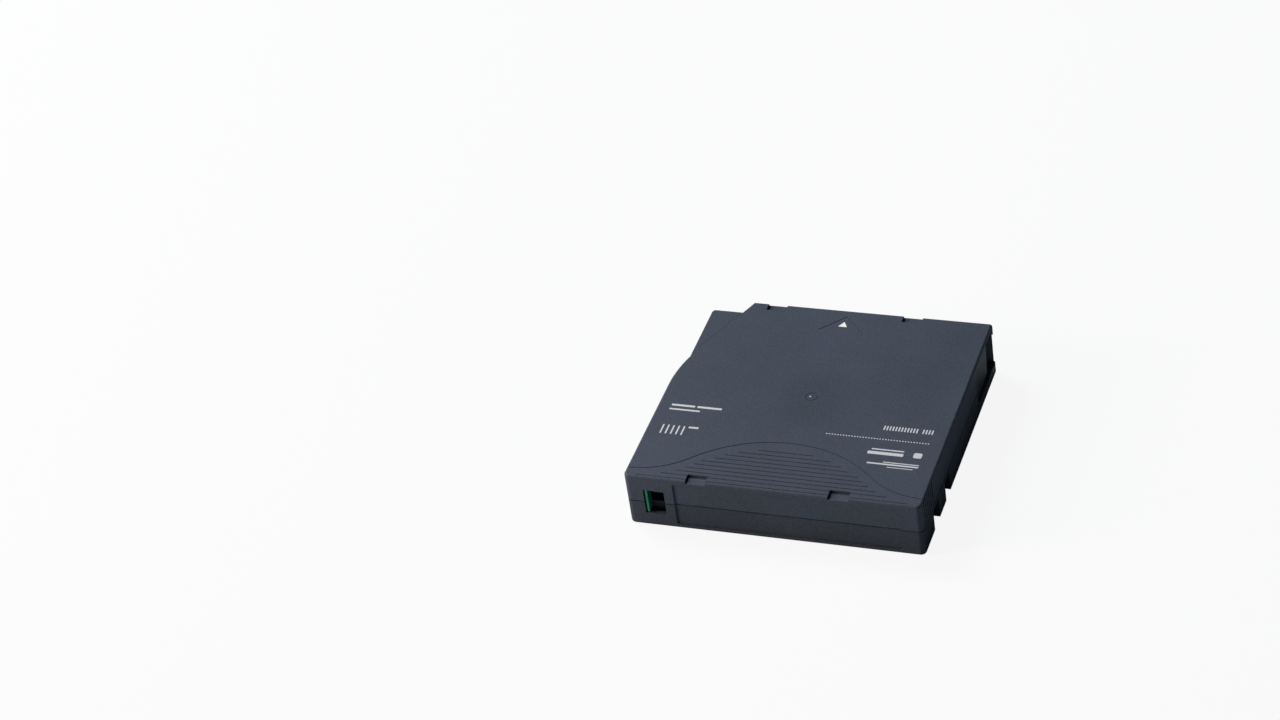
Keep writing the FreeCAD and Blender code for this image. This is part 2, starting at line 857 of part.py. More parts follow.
def build_reel_plate():
    """The steel washer that a drive's magnet pulls on."""
    body = new_body("reel_plate")
    section = new_sketch(body, "XY_Plane", cell("web_bottom") - 1)
    circle(section, 0, 0, 12.5)
    circle(section, 0, 0, 4.5)
    pad(body, section, 1)
    return body


def build_tape_pack():
    body = new_body("tape_pack")
    section = new_sketch(body, "XY_Plane", cell("pack_bottom"))
    circle(section, 0, 0, cell("pack_radius"))
    circle(section, 0, 0, cell("hub_radius") + 0.02)
    pad(body, section, cell("tape_width"))
    return body


def build_tape_lead():
    """The free end of the tape, from the pack to the leader pin and round it."""
    body = new_body("tape_lead")
    inner = cell("pin_radius") + 0.04
    thick = as_size(0.16)
    away = cell("pack_radius") + 0.45
    across, along = math.cos(math.radians(170)), math.sin(math.radians(170))
    section = new_sketch(body, "XY_Plane", cell("pack_bottom") + 0.1)
    outline(
        section,
        [
            (away, 1.5),
            (away + thick, 1.5),
            (pin_x + inner + thick, pin_y, inner + thick),
            (pin_x + (inner + thick) * across, pin_y + (inner + thick) * along),
            (pin_x + inner * across, pin_y + inner * along, -inner),
            (pin_x + inner, pin_y),
        ],
    )
    pad(body, section, cell("tape_width") - 0.2)
    return body


def build_brake_button():
    """The locked button over the hub. It is pushed up to let the reel turn."""
    body = new_body("brake_button")
    low, high = cell("brake_bottom"), cell("brake_top")
    boss, top = cell("boss_radius"), cell("boss_top")
    rim = cell("brake_radius")
    section = new_sketch(body, "XZ_Plane")
    outline(
        section,
        [(0, low), (rim, low), (rim, high), (boss, high), (boss, top - 0.4), (boss - 0.4, top), (0, top)],
    )
    revolve(body, section)
    tooth = new_sketch(body, "XY_Plane", cell("brake_tip"))
    wedge(tooth, cell("lock_inner"), cell("lock_outer"), 5, 2.2)
    around(body, pad(body, tooth, low + 0.1 - cell("brake_tip")), 36)
    long = cell("post_width") / 2 + 0.25
    thin = cell("post_thickness") / 2 + 0.25
    socket = [
        (thin, -long), (thin, -thin), (long, -thin), (long, thin), (thin, thin), (thin, long),
        (-thin, long), (-thin, thin), (-long, thin), (-long, -thin), (-thin, -thin), (-thin, -long),
    ]
    sink(body, outline, high, top + 1, socket)
    return body


def build_brake_spring():
    body = new_body("brake_spring")
    coil(body, cell("boss_radius") + 1.5, as_size(0.8), ceiling - cell("brake_top") - 0.2, turns=3)
    body.Placement = FreeCAD.Placement(FreeCAD.Vector(0, 0, 8.1), FreeCAD.Rotation())
    return body


def build_release_plate():
    """A three-armed spider whose feet reach down between the drive teeth."""
    body = new_body("release_plate")
    low, high = cell("arm_bottom"), cell("arm_top")
    crown = cell("brake_bottom") - 0.1
    section = new_sketch(body, "XZ_Plane")
    outline(
        section,
        [(0, low), (6, low), (6, high), (3.6, high), (3.6, crown), (0, crown)],
    )
    revolve(body, section)
    arm = new_sketch(body, "XY_Plane", low)
    reach = cell("foot_circle")
    outline(
        arm,
        [(4, -1.7), (reach, -1.5, as_size(1.5)), (reach + 1.5, 0, as_size(1.5)), (reach, 1.5), (4, 1.7)],
    )
    around(body, pad(body, arm, high - low), 3)
    foot = new_sketch(body, "XY_Plane", cell("tooth_tip") + 0.2)
    circle(foot, reach, 0, cell("foot_radius"))
    around(body, pad(body, foot, low + 0.1 - cell("tooth_tip") - 0.2), 3)
    return body


def build_leader_pin():
    """Turned steel: two discs keep the tape between them, and the ends rest in the case."""
    body = new_body("leader_pin")
    shaft, disc, end = cell("pin_radius"), cell("pin_disc"), as_size(1.0)
    section = new_sketch(body, "XZ_Plane")
    outline(
        section,
        [
            (0, 2.4),
            (end, 2.4),
            (end, 3.5),
            (disc, 3.5),
            (disc, 4.2),
            (shaft, 4.2),
            (shaft, 17.2),
            (disc, 17.2),
            (disc, 17.9),
            (end, 17.9),
            (end, 19.1),
            (0, 19.1),
        ],
    )
    revolve(body, section)
    body.Placement = FreeCAD.Placement(
        FreeCAD.Vector(pin_x.number, pin_y.number, 0), FreeCAD.Rotation()
    )
    bind(body, "Placement.Base.x", pin_x)
    bind(body, "Placement.Base.y", pin_y)
    return body


def build_leader_clip():
    """The plastic clip that snaps over the tape and the pin."""
    body = new_body("leader_clip")
    section = new_sketch(body, "XY_Plane", cell("pack_bottom") + 0.2)
    ring_sector(section, cell("pin_radius") + 0.24, cell("pin_radius") + 0.9, 3, 217)
    pad(body, section, cell("tape_width") - 0.4)
    body.Placement = FreeCAD.Placement(
        FreeCAD.Vector(pin_x.number, pin_y.number, 0), FreeCAD.Rotation()
    )
    bind(body, "Placement.Base.x", pin_x)
    bind(body, "Placement.Base.y", pin_y)
    return body


def build_pin_spring(label, low, high):
    """A bent steel strip that holds one end of the leader pin in its seat."""
    body = new_body(label)
    strip = [
        (-2.0, -5.2),
        (0.7, -5.2, 0.8),
        (1.5, -4.4),
        (1.5, -0.8),
        (1.42, 0.0),
        (1.9, 1.8),
        (1.52, 1.9),
        (1.02, 0.0),
        (1.1, -0.8),
        (1.1, -4.4, -0.4),
        (0.7, -4.8),
        (-2.0, -4.8),
    ]
    moved = [(pin_x + x, pin_y + y, *map(as_size, radius)) for x, y, *radius in strip]
    rise(body, outline, low, high, moved)
    return body


def build_write_protect_slider():
    body = new_body("write_protect_slider")
    front = -half_depth
    left = -cell("protect_left") + 0.6
    right = left + 0.9
    rise(body, rectangle, 6.1, 15.4, left, front + 0.1, right, front + 1.15)
    rise(body, rectangle, 6.1, 13.9, left, front + 1.0, right, front + 2.4)
    rise(body, rectangle, 4.6, 16.0, left - 1.2, front + 2.25, left + 2.6, front + 3.1)
    upright = lambda edge: abs(edge.BoundBox.ZLength - 9.3) < 0.01 and edge.BoundBox.YMax < -50.8
    dress(body, "Fillet", upright, 0.3)
    return body


def build_cartridge_memory():
    """A small circuit board on the case's rear slope, read by radio."""
    body = new_body("cartridge_memory")
    section = new_sketch(body, "XY_Plane", -0.4)
    rounded(section, as_size(-7.5), as_size(-3.25), as_size(7.5), as_size(3.25), as_size(0.6))
    pad(body, section, 0.8)
    body.Placement = FreeCAD.Placement(
        FreeCAD.Vector(35.5, -46.25, 4.45), FreeCAD.Rotation(FreeCAD.Vector(1, 0, 0), -45)
    )
    return body


def build_screw(label, x, y):
    """A pan-head screw, put in from below."""
    body = new_body(label)
    head, shank = cell("screw_head"), cell("screw_shank")
    seat, tip = cell("head_seat"), cell("screw_tip")
    section = new_sketch(body, "XZ_Plane")
    outline(
        section,
        [
            (0, seat - 1.5),
            (head, seat - 1.5),
            (head, seat),
            (shank, seat),
            (shank, tip - 1),
            (0, tip),
        ],
    )
    revolve(body, section)
    body.Placement = FreeCAD.Placement(FreeCAD.Vector(x, y, 0), FreeCAD.Rotation())
    return body


def export(bodies):
    """Checks every piece and writes it out."""
    doc.recompute()
    for thing in doc.Objects:
        if "Invalid" in thing.State or "Error" in thing.State:
            raise RuntimeError(f"{thing.Label}: {thing.State}")
    os.makedirs("parts", exist_ok=True)
    for body in bodies:
        shape = body.Shape
        if shape.isNull() or not shape.isValid() or len(shape.Solids) != 1:
            raise RuntimeError(f"{body.Label}: {len(shape.Solids)} solids")
        shape.exportStep(f"parts/{body.Label}.step")
        print(f"{body.Label}: {shape.Volume:.0f} mm3")


export(
    [
        build_lower_shell(),
        build_upper_shell(),
        build_door(),
        build_door_spring(),
        build_reel_hub(),
        build_reel_upper_flange(),
        build_reel_plate(),
        build_tape_pack(),
        build_tape_lead(),
        build_brake_button(),
        build_brake_spring(),
        build_release_plate(),
        build_leader_pin(),
        build_leader_clip(),
        build_pin_spring("pin_spring_lower", as_size(2.3), as_size(3.3)),
        build_pin_spring("pin_spring_upper", as_size(18.2), as_size(19.2)),
        build_write_protect_slider(),
        build_cartridge_memory(),
        *[build_screw(label, x, y) for label, (x, y) in SCREWS.items()],
    ]
)
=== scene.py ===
import math

import bmesh
import bpy
from mathutils import Matrix, Vector


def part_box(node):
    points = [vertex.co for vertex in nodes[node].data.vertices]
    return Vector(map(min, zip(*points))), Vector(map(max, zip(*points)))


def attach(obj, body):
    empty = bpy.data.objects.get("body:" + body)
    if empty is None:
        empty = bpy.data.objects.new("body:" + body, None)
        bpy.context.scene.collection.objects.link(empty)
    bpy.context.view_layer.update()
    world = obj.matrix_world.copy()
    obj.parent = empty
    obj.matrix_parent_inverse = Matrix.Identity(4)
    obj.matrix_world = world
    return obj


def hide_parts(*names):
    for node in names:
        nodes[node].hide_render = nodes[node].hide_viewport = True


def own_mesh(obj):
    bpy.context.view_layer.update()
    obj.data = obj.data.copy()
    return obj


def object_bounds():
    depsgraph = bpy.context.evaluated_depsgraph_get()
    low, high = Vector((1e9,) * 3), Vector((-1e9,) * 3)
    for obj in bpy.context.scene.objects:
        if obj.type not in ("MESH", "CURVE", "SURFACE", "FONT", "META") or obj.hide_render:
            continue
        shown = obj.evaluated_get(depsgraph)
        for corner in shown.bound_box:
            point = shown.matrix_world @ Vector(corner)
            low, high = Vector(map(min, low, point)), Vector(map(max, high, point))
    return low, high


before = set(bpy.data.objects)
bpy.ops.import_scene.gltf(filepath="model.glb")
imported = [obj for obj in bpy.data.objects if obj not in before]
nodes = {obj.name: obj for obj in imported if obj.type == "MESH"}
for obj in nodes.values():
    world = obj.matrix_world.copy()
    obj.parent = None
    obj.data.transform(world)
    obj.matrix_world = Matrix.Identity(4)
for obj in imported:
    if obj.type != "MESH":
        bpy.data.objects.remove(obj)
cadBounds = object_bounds()
mm = 0.001
print("frame loaded:", len(nodes), "nodes")


# Materials

def linear(hexText):
    channels = [int(hexText[i:i + 2], 16) / 255 for i in (1, 3, 5)]
    return (*[c / 12.92 if c <= 0.04045 else ((c + 0.055) / 1.055) ** 2.4 for c in channels], 1)


def grey(level):
    return (level, level, level, 1)


# A setting is a property or an input's value, and "stops" fills a colour ramp. Links come in from
# sockets, and onward links go out from the new node's outputs.
def addNode(tree, kind, settings=None, links=None, onward=None):
    node = tree.nodes.new(kind)
    for name, value in (settings or {}).items():
        if name == "stops":
            band = node.color_ramp.elements
            while len(band) < len(value):
                band.new(0.5)
            for element, (position, colour) in zip(band, value):
                element.position = position
                element.color = colour
        elif isinstance(name, str) and hasattr(node, name):
            setattr(node, name, value)
        else:
            node.inputs[name].default_value = value
    for name, socket in (links or {}).items():
        tree.links.new(socket, node.inputs[name])
    for name, socket in (onward or {}).items():
        tree.links.new(node.outputs[name], socket)
    return node


def newMaterial(name, roughness, metallic=0.0, specular=0.5):
    material = bpy.data.materials.new(name)
    material.use_nodes = True
    tree = material.node_tree
    shader = tree.nodes["Principled BSDF"].inputs
    shader["Roughness"].default_value = roughness
    shader["Metallic"].default_value = metallic
    shader["Specular IOR Level"].default_value = specular
    place = addNode(tree, "ShaderNodeTexCoord").outputs["Object"]
    return material, tree, shader, place


def axisDistance(tree, place):
    flat = addNode(tree, "ShaderNodeVectorMath", {"operation": "MULTIPLY", 1: (1, 1, 0)}, {0: place})
    reach = addNode(tree, "ShaderNodeVectorMath", {"operation": "LENGTH"}, {0: flat.outputs[0]})
    return reach.outputs["Value"]


tinting = {"data_type": "RGBA", "blend_type": "MULTIPLY", 0: 1.0}  # inputs: 0 factor, 6 and 7 colours


def mouldedPlastic(name, look):
    material, tree, shader, place = newMaterial(name, look["roughness"], specular=look["specular"])
    cloud = addNode(
        tree, "ShaderNodeTexNoise", {"Scale": 1 / look["cloud"], "Detail": 3.0, "Roughness": 0.6},
        {"Vector": place},
    ).outputs["Fac"]
    grain = addNode(
        tree, "ShaderNodeTexNoise", {"Scale": 1 / look["grain"], "Detail": 2.0, "Roughness": 0.7},
        {"Vector": place},
    ).outputs["Fac"]
    base = addNode(
        tree, "ShaderNodeValToRGB",
        {"stops": [(0.3, linear(look["darker"])), (0.5, linear(look["colour"])),
                   (0.7, linear(look["lighter"]))]},
        {"Fac": cloud},
    )
    speck = addNode(
        tree, "ShaderNodeValToRGB", {"stops": [(0.3, grey(look.get("speck", 0.9))), (0.7, grey(1.0))]},
        {"Fac": grain},
    )
    tint = addNode(tree, "ShaderNodeMix", tinting, {6: base.outputs["Color"], 7: speck.outputs["Color"]})
    # painted shade: the colour darkens towards the middle, for a dimmer reflection on the top
    if "paintedShadeRadius" in look:
        shade = addNode(
            tree, "ShaderNodeMapRange",
            {"interpolation_type": "SMOOTHSTEP", "From Min": 0.35 * look["paintedShadeRadius"],
             "From Max": look["paintedShadeRadius"], "To Min": 0.88, "To Max": 1.0},
            {"Value": axisDistance(tree, place)},
        )
        tint = addNode(tree, "ShaderNodeMix", tinting, {6: tint.outputs[2], 7: shade.outputs["Result"]})
    tree.links.new(tint.outputs[2], shader["Base Color"])
    addNode(
        tree, "ShaderNodeMapRange",
        {"From Min": 0.3, "From Max": 0.7, "To Min": look["roughness"] - 0.05,
         "To Max": look["roughness"] + 0.06},
        {"Value": cloud}, {"Result": shader["Roughness"]},
    )
    addNode(
        tree, "ShaderNodeBump", {"Strength": 0.6, "Distance": look["grainDepth"]},
        {"Height": grain}, {"Normal": shader["Normal"]},
    )
    return material


# Injection-moulded polycarbonate with a spark-eroded texture: matt, with a fine grain that
# sparkles in grazing light. The real grain is 0.05 mm; it is drawn coarser here so that it shows.
# A faint darker disc, 19 mm in radius, lies round the middle: painted shade for the dimmer reflection
# seen on the top there.
shellLook = {
    "colour": "#404a5b", "lighter": "#434d5f", "darker": "#3d4757", "roughness": 0.6, "specular": 0.22,
    "grain": 0.45 * mm, "grainDepth": 0.03 * mm, "cloud": 30 * mm, "speck": 0.55, "paintedShadeRadius": 19 * mm,
}
shellPlastic = mouldedPlastic("spark-eroded polycarbonate", shellLook)

# The lower half is the same plastic painted a shade darker and warmer: painted shade for the darker
# lower part of the front.
shadedLowerPlastic = mouldedPlastic("spark-eroded polycarbonate, lower half with painted shade", {
    **shellLook, "colour": "#3a4250", "lighter": "#3d4554", "darker": "#373f4c",
})

# The door is the same plastic from a smoother tool: darker and a little glossier.
doorPlastic = mouldedPlastic("satin moulded polycarbonate", {
    "colour": "#222d35", "lighter": "#26323a", "darker": "#1f2931", "roughness": 0.5, "specular": 0.25,
    "grain": 0.5 * mm, "grainDepth": 0.004 * mm, "cloud": 14 * mm,
})

# Glass-filled polycarbonate: pale grey with faint flow swirls.
reelPlastic = mouldedPlastic("glass-filled polycarbonate", {
    "colour": "#8f9398", "lighter": "#9a9da1", "darker": "#85898e", "roughness": 0.48, "specular": 0.5,
    "grain": 0.3 * mm, "grainDepth": 0.006 * mm, "cloud": 9 * mm,
})

# Acetal: waxy and off-white, moulded smooth.
acetal = mouldedPlastic("moulded acetal", {
    "colour": "#d8d6cc", "lighter": "#dedcd3", "darker": "#cfccc1", "roughness": 0.38, "specular": 0.5,
    "grain": 0.6 * mm, "grainDepth": 0.003 * mm, "cloud": 6 * mm,
})

# Acetal coloured through in green, smooth enough to catch light on the slider's rib.
sliderPlastic = mouldedPlastic("green moulded acetal", {
    "colour": "#08745a", "lighter": "#0b8064", "darker": "#076a52", "roughness": 0.4, "specular": 0.4,
    "grain": 0.4 * mm, "grainDepth": 0.003 * mm, "cloud": 4 * mm,
})


def steel(name, look):
    material, tree, shader, place = newMaterial(name, look["roughness"], 1.0)
    stretched = addNode(tree, "ShaderNodeMapping", {"Scale": look["stretch"]}, {"Vector": place})
    streaks = addNode(
        tree, "ShaderNodeTexNoise", {"Scale": 1 / look["streak"], "Detail": 4.0, "Roughness": 0.65},
        {"Vector": stretched.outputs["Vector"]},
    ).outputs["Fac"]
    addNode(
        tree, "ShaderNodeValToRGB",
        {"stops": [(0.3, linear(look["darker"])), (0.7, linear(look["colour"]))]},
        {"Fac": streaks}, {"Color": shader["Base Color"]},
    )
    addNode(
        tree, "ShaderNodeMapRange",
        {"From Min": 0.3, "From Max": 0.7, "To Min": look["roughness"] - 0.06,
         "To Max": look["roughness"] + 0.08},
        {"Value": streaks}, {"Result": shader["Roughness"]},
    )
    return material


# Turned stainless steel: bright, with fine tool rings square to the axis.
turnedSteel = steel("turned stainless steel", {
    "colour": "#c9c8c4", "darker": "#a9a8a5", "roughness": 0.24, "streak": 2 * mm,
    "stretch": (0.2, 0.2, 12.0),
})

# Cold-rolled spring strip and drawn wire: blue-grey, lightly oiled.
springSteel = steel("drawn spring steel", {
    "colour": "#a4a6a9", "darker": "#7c7e82", "roughness": 0.3, "streak": 1 * mm,
    "stretch": (1.0, 1.0, 1.0),
})

# Bright zinc plate on the screws: a cool shine with a slight mottle.
zincPlate = steel("bright zinc plate", {
    "colour": "#b9bdc2", "darker": "#94989e", "roughness": 0.3, "streak": 0.8 * mm,
    "stretch": (1.0, 1.0, 1.0),
})


def ringed(name, look):
    material, tree, shader, place = newMaterial(name, look["roughness"], look["metallic"])
    rings = addNode(
        tree, "ShaderNodeTexNoise",
        {"noise_dimensions": "1D", "Scale": 1 / look["ring"], "Detail": 5.0, "Roughness": 0.75},
        {"W": axisDistance(tree, place)},
    ).outputs["Fac"]
    addNode(
        tree, "ShaderNodeValToRGB",
        {"stops": [(0.3, linear(look["darker"])), (0.7, linear(look["colour"]))]},
        {"Fac": rings}, {"Color": shader["Base Color"]},
    )
    addNode(
        tree, "ShaderNodeBump", {"Strength": 0.5, "Distance": look["depth"]},
        {"Height": rings}, {"Normal": shader["Normal"]},
    )
    return material


# Wound tape seen edge-on: nearly black brown, with rings where single turns stand proud.
woundTape = ringed("wound polyester tape", {
    "colour": "#2a2421", "darker": "#1a1614", "roughness": 0.36, "metallic": 0.0,
    "ring": 0.6 * mm, "depth": 0.02 * mm,
})

# Stamped and nickel-plated washer with faint lapping rings.
nickelPlate = ringed("nickel-plated washer", {
    "colour": "#b5b2ab", "darker": "#96938c", "roughness": 0.28, "metallic": 1.0,
    "ring": 0.5 * mm, "depth": 0.008 * mm,
})


def thinLayer(name, look):
    material, tree, shader, place = newMaterial(name, look["roughness"])
    mottle = addNode(
        tree, "ShaderNodeTexNoise", {"Scale": 1 / look["mottle"], "Detail": look["detail"]},
        {"Vector": place},
    ).outputs["Fac"]
    addNode(
        tree, "ShaderNodeValToRGB",
        {"stops": [(look["from"], linear(look["darker"])), (look["to"], linear(look["colour"]))]},
        {"Fac": mottle}, {"Color": shader["Base Color"]},
    )
    return material


# The coated face of the tape: black-brown and almost polished.
coatedTape = thinLayer("magnetic coating", {
    "colour": "#241f1d", "darker": "#1b1817", "roughness": 0.22, "mottle": 4 * mm, "detail": 2.0,
    "from": 0.35, "to": 0.65,
})

# Pad-printed ink: thin and slightly uneven, because the textured plastic shows between its grains.
inkLook = {"roughness": 0.45, "mottle": 0.5 * mm, "detail": 3.0, "from": 0.3, "to": 0.6}
paleInk = thinLayer("pad-printed grey ink", {**inkLook, "colour": "#c9cdd6", "darker": "#adb2bd"})
whiteInk = thinLayer("pad-printed white ink", {**inkLook, "colour": "#f2f3f5", "darker": "#dfe1e4"})


def solderMask(look):
    material, tree, shader, place = newMaterial("solder mask", look["roughness"])
    addNode(
        tree, "ShaderNodeTexBrick",
        {"Scale": 1 / look["weave"], "Color1": linear(look["lighter"]), "Color2": linear(look["colour"]),
         "Mortar": linear(look["darker"]), "Mortar Size": look["gap"]},
        {"Vector": place}, {"Color": shader["Base Color"]},
    )
    return material


# Green solder mask over woven glass laminate: the weave shows through faintly.
boardMask = solderMask({
    "colour": "#0c5430", "lighter": "#0e5a33", "darker": "#0a4a2a", "roughness": 0.3,
    "weave": 1.2 * mm, "gap": 0.03,
})

finishes = {
    # the lower half carries painted shade in its colour
    "lower_shell": shadedLowerPlastic,
    "upper_shell": shellPlastic,
    "door": doorPlastic,
    "reel_hub": reelPlastic,
    "reel_upper_flange": reelPlastic,
    "reel_plate": nickelPlate,
    "tape_pack": woundTape,
    "tape_lead": coatedTape,
    "brake_button": acetal,
    "release_plate": acetal,
    "leader_clip": acetal,
    "leader_pin": turnedSteel,
    "pin_spring_lower": springSteel,
    "pin_spring_upper": springSteel,
    "door_spring": springSteel,
    "brake_spring": springSteel,
    "write_protect_slider": sliderPlastic,
    "cartridge_memory": boardMask,
}
for name, node in nodes.items():
    node.data.materials.clear()
    node.data.materials.append(finishes.get(name, zincPlate))  # the rest are screws
print("materials:", len(finishes), "nodes finished")


# Making pieces

def newObject(name, data):
    thing = bpy.data.objects.new(name, data)
    bpy.context.scene.collection.objects.link(thing)
    return thing


def newMesh(name, made):
    mesh = bpy.data.meshes.new(name)
    made.to_mesh(mesh)
    made.free()
    return mesh


def finishedMesh(thing):
    bpy.context.view_layer.update()
    return bpy.data.meshes.new_from_object(thing.evaluated_get(bpy.context.evaluated_depsgraph_get()))


def keep(name, mesh, body, material=None):
    piece = newObject(name, mesh)
    if material:
        mesh.materials.append(material)
    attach(piece, body)
    return piece


# Each slab is an outline, a bottom and a top.
def plate(name, slabs, body, material):
    made = bmesh.new()
    for outline, low, high in slabs:
        bottom = [made.verts.new((x, y, low)) for x, y in outline]
        top = [made.verts.new((x, y, high)) for x, y in outline]
        made.faces.new(top)
        made.faces.new(list(reversed(bottom)))
        for n in range(len(outline)):
            m = (n + 1) % len(outline)
            made.faces.new((bottom[n], bottom[m], top[m], top[n]))
    bmesh.ops.recalc_face_normals(made, faces=made.faces)
    return keep(name, newMesh(name, made), body, material)


def quarterArc(x, y, radius, start, steps):
    angles = [math.radians(start + 90 * step / steps) for step in range(steps + 1)]
    return [(x + radius * math.cos(angle), y + radius * math.sin(angle)) for angle in angles]


# Print on the top: plain bars and dots in blocks, with the weight of small print

topPrint = {
    "level": cadBounds[1].z,
    "thickness": 0.02 * mm,
    "sunk": 0.01 * mm,
    "barSteps": 5,
    "barRound": 0.25,  # corner radius as a share of the shorter side
    "dotSides": 16,
    "bars": [  # left, bottom, width, height in mm
        (-47.6, -11.7, 8.6, 1.0),
        (-38.2, -11.7, 9.0, 1.0),
        (-47.8, -13.9, 11.2, 0.8),
        (-37.8, -23.0, 3.6, 0.9),
        (27.4, -26.3, 12.6, 1.5),
        (28.4, -23.9, 11.4, 0.6),
        (43.4, -26.3, 3.0, 2.7),
        (28.6, -31.4, 18.0, 0.7),
        (34.0, -30.2, 12.6, 0.45),
        (36.0, -32.6, 9.0, 0.35),
    ],
    "barRows": [  # left, bottom, pitch, width, height, count
        (-47.2, -27.0, 1.9, 0.55, 4.8, 5),
        (29.6, -13.2, 1.05, 0.5, 2.3, 12),
        (43.4, -13.2, 1.05, 0.5, 2.3, 4),
    ],
    "dotRows": [(10.9, -18.2, 1.0, 0.55, 37)],  # left, middle, pitch, dot across, count
    "glintDot": (-0.4, 0.7, 0.7),  # middle and width of a pale dot on the torn sprue end: the nub is real, its paleness a painted highlight
    "mark": [(-1.6, 41.25), (1.6, 41.25), (0, 44.1)],  # which way the cartridge goes in
    "markRecess": 0.1 * mm,
}


def bar(left, bottom, width, height):
    radius = min(width, height) * topPrint["barRound"]
    right, top = left + width - radius, bottom + height - radius
    left, bottom = left + radius, bottom + radius
    corners = [(right, top, 0), (left, top, 90), (left, bottom, 180), (right, bottom, 270)]
    return [(x * mm, y * mm) for middleX, middleY, start in corners
            for x, y in quarterArc(middleX, middleY, radius, start, topPrint["barSteps"])]


def dot(x, y, across):
    turn = 2 * math.pi / topPrint["dotSides"]
    return [((x + across / 2 * math.cos(turn * n)) * mm, (y + across / 2 * math.sin(turn * n)) * mm)
            for n in range(topPrint["dotSides"])]


shapes = [bar(*entry) for entry in topPrint["bars"]]
for left, bottom, pitch, width, height, count in topPrint["barRows"]:
    shapes += [bar(left + pitch * n, bottom, width, height) for n in range(count)]
for left, middle, pitch, across, count in topPrint["dotRows"]:
    shapes += [dot(left + pitch * n, middle, across) for n in range(count)]
inkTop = topPrint["level"] + topPrint["thickness"]
inkFoot = topPrint["level"] - topPrint["sunk"]
plate("topPrint", [(shape, inkFoot, inkTop) for shape in shapes], "case", paleInk)
# painted highlight: a pale dot for the glint on the sprue end
plate("gateStub", [(dot(*topPrint["glintDot"]), inkFoot, inkTop)], "case", paleInk)
mark = [(x * mm, y * mm) for x, y in topPrint["mark"]]
plate("entryMark", [(mark, inkFoot - topPrint["markRecess"], inkTop)], "case", whiteInk)
print("print laid on the top")


# Write-protect slider: one finger rib on a foot that hides behind the window's edge

slider = {
    "rib": 0.9 * mm, "ribDepth": 1.05 * mm, "low": 6.1 * mm, "ribTop": 15.4 * mm, "footTop": 13.9 * mm,
    "foot": 0.85 * mm, "footReach": 1.2 * mm, "round": 0.25 * mm, "roundSteps": 4, "overlap": 0.1 * mm,
}

low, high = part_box("write_protect_slider")
left = low.x + slider["footReach"]
right = left + slider["rib"]
ribBack = low.y + slider["ribDepth"]
rib = [(right, ribBack), (left, ribBack)]
for middle, start in ((left + slider["round"], 180), (right - slider["round"], 270)):
    rib += quarterArc(middle, low.y + slider["round"], slider["round"], start, slider["roundSteps"])
footFront = high.y - slider["foot"]
neck = ribBack - slider["overlap"]
foot = [(right, neck), (right, high.y), (low.x, high.y),
        (low.x, footFront), (left, footFront), (left, neck)]
fingerRib = plate(
    "protectSlider",
    [(rib, slider["low"], slider["ribTop"]), (foot, slider["low"], slider["footTop"])],
    "protect", sliderPlastic,
)
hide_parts("write_protect_slider")
print("slider made")


# Pieces that Geometry Nodes make

def newTree(name, sockets):
    tree = bpy.data.node_groups.new(name, "GeometryNodeTree")
    for title, kind in sockets:
        tree.interface.new_socket(name=title, in_out="INPUT", socket_type=kind)
    tree.interface.new_socket(name="Geometry", in_out="OUTPUT", socket_type="NodeSocketGeometry")
    return tree, addNode(tree, "NodeGroupInput").outputs


def endTree(tree, geometry, material):
    real = addNode(tree, "GeometryNodeRealizeInstances", None, {"Geometry": geometry})
    finish = addNode(tree, "GeometryNodeSetMaterial", None,
                     {"Geometry": real.outputs[0], "Material": material})
    addNode(tree, "NodeGroupOutput", None, {"Geometry": finish.outputs[0]})


def grown(tree, mesh, values):
    holder = newObject("holder", mesh)
    modifier = holder.modifiers.new("made", "NODES")
    modifier.node_group = tree
    for item in tree.interface.items_tree:
        if item.in_out == "INPUT" and item.name in values:
            modifier[item.identifier] = values[item.name]
    made = finishedMesh(holder)
    bpy.data.objects.remove(holder)
    return made


# Coil springs

doorCoil = {"wire": 0.42 * mm, "radius": 0.85 * mm, "turns": 26.0, "stepsPerTurn": 24}
brakeCoil = {"wire": 0.8 * mm, "radius": 8.1 * mm, "turns": 4.5, "stepsPerTurn": 24}


def coilTree(wireSides=10):
    tree, entry = newTree("wound spring", [
        ("Radius", "NodeSocketFloat"), ("Wire", "NodeSocketFloat"), ("Length", "NodeSocketFloat"),
        ("Turns", "NodeSocketFloat"), ("Steps", "NodeSocketInt"), ("Material", "NodeSocketMaterial"),
    ])
    spiral = addNode(tree, "GeometryNodeCurveSpiral", None, {
        "Resolution": entry["Steps"], "Rotations": entry["Turns"], "Start Radius": entry["Radius"],
        "End Radius": entry["Radius"], "Height": entry["Length"],
    })
    half = addNode(tree, "ShaderNodeMath", {"operation": "MULTIPLY", 1: 0.5}, {0: entry["Wire"]})
    section = addNode(tree, "GeometryNodeCurvePrimitiveCircle", {"Resolution": wireSides},
                      {"Radius": half.outputs[0]})
    wire = addNode(tree, "GeometryNodeCurveToMesh", {"Fill Caps": True},
                   {"Curve": spiral.outputs[0], "Profile Curve": section.outputs["Curve"]})
    smooth = addNode(tree, "GeometryNodeSetShadeSmooth", None, {"Geometry": wire.outputs["Mesh"]})
    endTree(tree, smooth.outputs[0], entry["Material"])
    return tree


springTree = coilTree()


def coilPiece(name, look, length, place):
    mesh = grown(springTree, bpy.data.meshes.new("holder"), {
        "Radius": look["radius"], "Wire": look["wire"], "Length": length - look["wire"],
        "Turns": look["turns"], "Steps": look["stepsPerTurn"], "Material": springSteel,
    })
    mesh.transform(place)
    return keep(name, mesh, "case")


